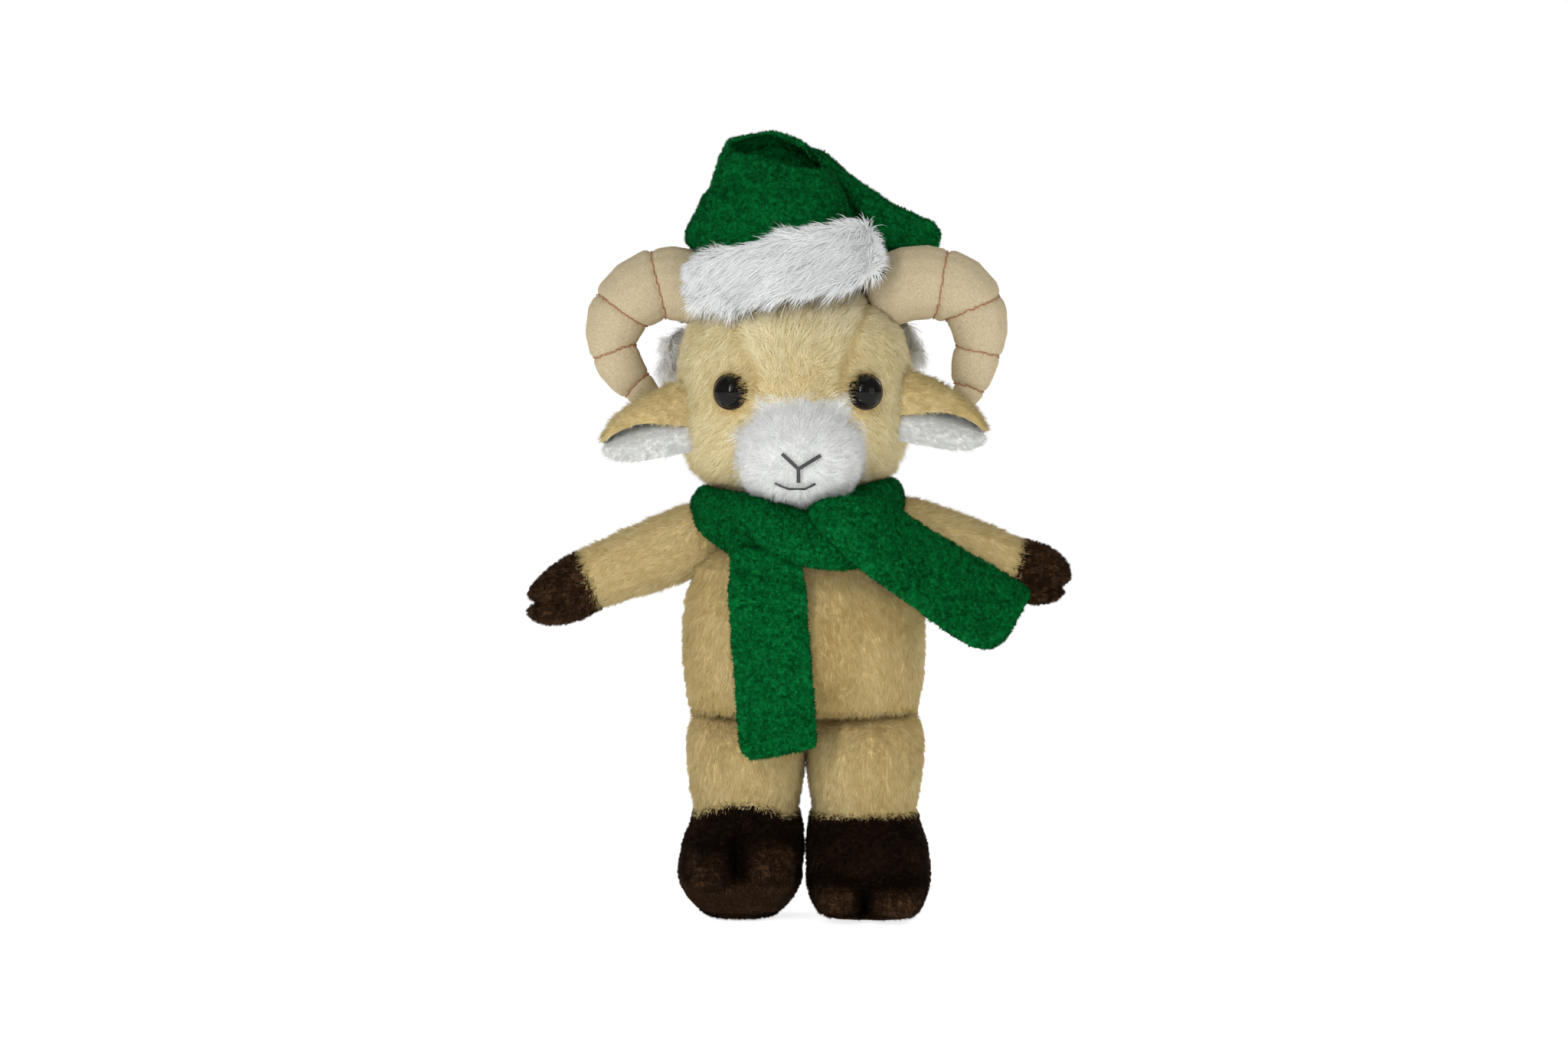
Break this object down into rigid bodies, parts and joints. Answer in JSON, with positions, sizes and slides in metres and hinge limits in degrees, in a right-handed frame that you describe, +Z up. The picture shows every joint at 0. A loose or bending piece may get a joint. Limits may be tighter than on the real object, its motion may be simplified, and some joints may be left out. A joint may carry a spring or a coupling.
{
  "type": "plush ram",
  "caption": "Soft toy ram standing upright, with curled stuffed horns, floppy ears, hoofed arms and legs that turn, a scarf and a lift-off folded hat.",
  "frame": {"origin": "on the floor midway between the feet, under the middle of the body", "axes": "+Z up, the face looks along -Y, the toy's own left side is +X"},
  "size_m": [0.1978, 0.0974, 0.2807],
  "materials": {
    "tan_plush": "matte",
    "pale_plush": "matte",
    "white_plush": "matte",
    "horn_twill": "matte",
    "horn_thread": "matte",
    "face_thread": "matte",
    "green_fleece": "matte",
    "brown_plush": "matte",
    "brown_sole": "matte",
    "stuffing": "matte",
    "eye_plastic": "gloss",
    "washer_plastic": "matte",
    "white_fur": "matte"
  },
  "bodies": {
    "torso": {"torso_front": "tan_plush", "torso_back": "tan_plush", "torso_stuffing": "stuffing", "tail": "tan_plush", "scarf_collar": "green_fleece", "scarf_knot": "green_fleece", "scarf_side_end": "green_fleece", "scarf_front_end": "green_fleece"},
    "scarf_tip": {"scarf_front_tip": "green_fleece"},
    "head": {"face_panel": "pale_plush", "cheek_panel_left": "tan_plush", "cheek_panel_right": "tan_plush", "head_back_panel": "tan_plush", "muzzle_panel": "white_plush", "head_stuffing": "stuffing", "eye_left": "eye_plastic", "eye_right": "eye_plastic", "eye_washer_left": "washer_plastic", "eye_washer_right": "washer_plastic", "nose_embroidery": "face_thread", "mouth_embroidery": "face_thread", "horn_left": "horn_twill", "horn_right": "horn_twill", "horn_stuffing_left": "stuffing", "horn_stuffing_right": "stuffing", "horn_stitching_left": "horn_thread", "horn_stitching_right": "horn_thread"},
    "left_ear": {"ear_outer_left": "tan_plush", "ear_lining_left": "white_plush"},
    "right_ear": {"ear_outer_right": "tan_plush", "ear_lining_right": "white_plush"},
    "hat": {"hat_crown": "green_fleece", "hat_trim_front": "white_fur", "hat_trim_back": "white_fur"},
    "left_arm": {"arm_left": "tan_plush", "arm_hoof_left": "brown_plush", "arm_stuffing_left": "stuffing"},
    "right_arm": {"arm_right": "tan_plush", "arm_hoof_right": "brown_plush", "arm_stuffing_right": "stuffing"},
    "left_leg": {"leg_left": "tan_plush", "foot_hoof_left": "brown_plush", "foot_sole_left": "brown_sole", "leg_stuffing_left": "stuffing"},
    "right_leg": {"leg_right": "tan_plush", "foot_hoof_right": "brown_plush", "foot_sole_right": "brown_sole", "leg_stuffing_right": "stuffing"}
  },
  "joints": [
    {"name": "neck_turn", "type": "hinge", "parent": "torso", "child": "head", "pos_m": [0, 0, 0.147], "axis": [0, 0, 1], "range_deg": [-35, 35]},
    {"name": "hat_lift", "type": "slide", "parent": "head", "child": "hat", "axis": [0, 0, 1], "range_m": [0, 0.06]},
    {"name": "left_ear_flop", "type": "hinge", "parent": "head", "child": "left_ear", "pos_m": [0.0424, -0.0084, 0.1785], "axis": [0, -1, 0], "range_deg": [-12, 10], "stiffness_Nm_per_rad": 0.002},
    {"name": "right_ear_flop", "type": "hinge", "parent": "head", "child": "right_ear", "pos_m": [-0.0464, -0.0084, 0.1775], "axis": [0, 1, 0], "range_deg": [-12, 10], "stiffness_Nm_per_rad": 0.002},
    {"name": "left_shoulder", "type": "hinge", "parent": "torso", "child": "left_arm", "pos_m": [0.0386, 0, 0.1364], "axis": [0, -1, 0], "range_deg": [-12, 35], "stiffness_Nm_per_rad": 0.05, "springref_deg": 1.72},
    {"name": "right_shoulder", "type": "hinge", "parent": "torso", "child": "right_arm", "pos_m": [-0.0368, 0, 0.1344], "axis": [0, 1, 0], "range_deg": [-12, 35], "stiffness_Nm_per_rad": 0.05, "springref_deg": 1.72},
    {"name": "left_hip", "type": "hinge", "parent": "torso", "child": "left_leg", "pos_m": [0.0234, 0, 0.0498], "axis": [-1, 0, 0], "range_deg": [0, 80], "stiffness_Nm_per_rad": 0.15},
    {"name": "right_hip", "type": "hinge", "parent": "torso", "child": "right_leg", "pos_m": [-0.0192, 0, 0.0498], "axis": [-1, 0, 0], "range_deg": [0, 80], "stiffness_Nm_per_rad": 0.15},
    {"name": "scarf_tip_fold", "type": "hinge", "parent": "torso", "child": "scarf_tip", "pos_m": [-0.0125, -0.0376, 0.084], "axis": [-1, 0, 0], "range_deg": [0, 80]}
  ],
  "couplings": [
    {"joint": "scarf_tip_fold", "follows": "right_hip", "ratio": 1}
  ]
}
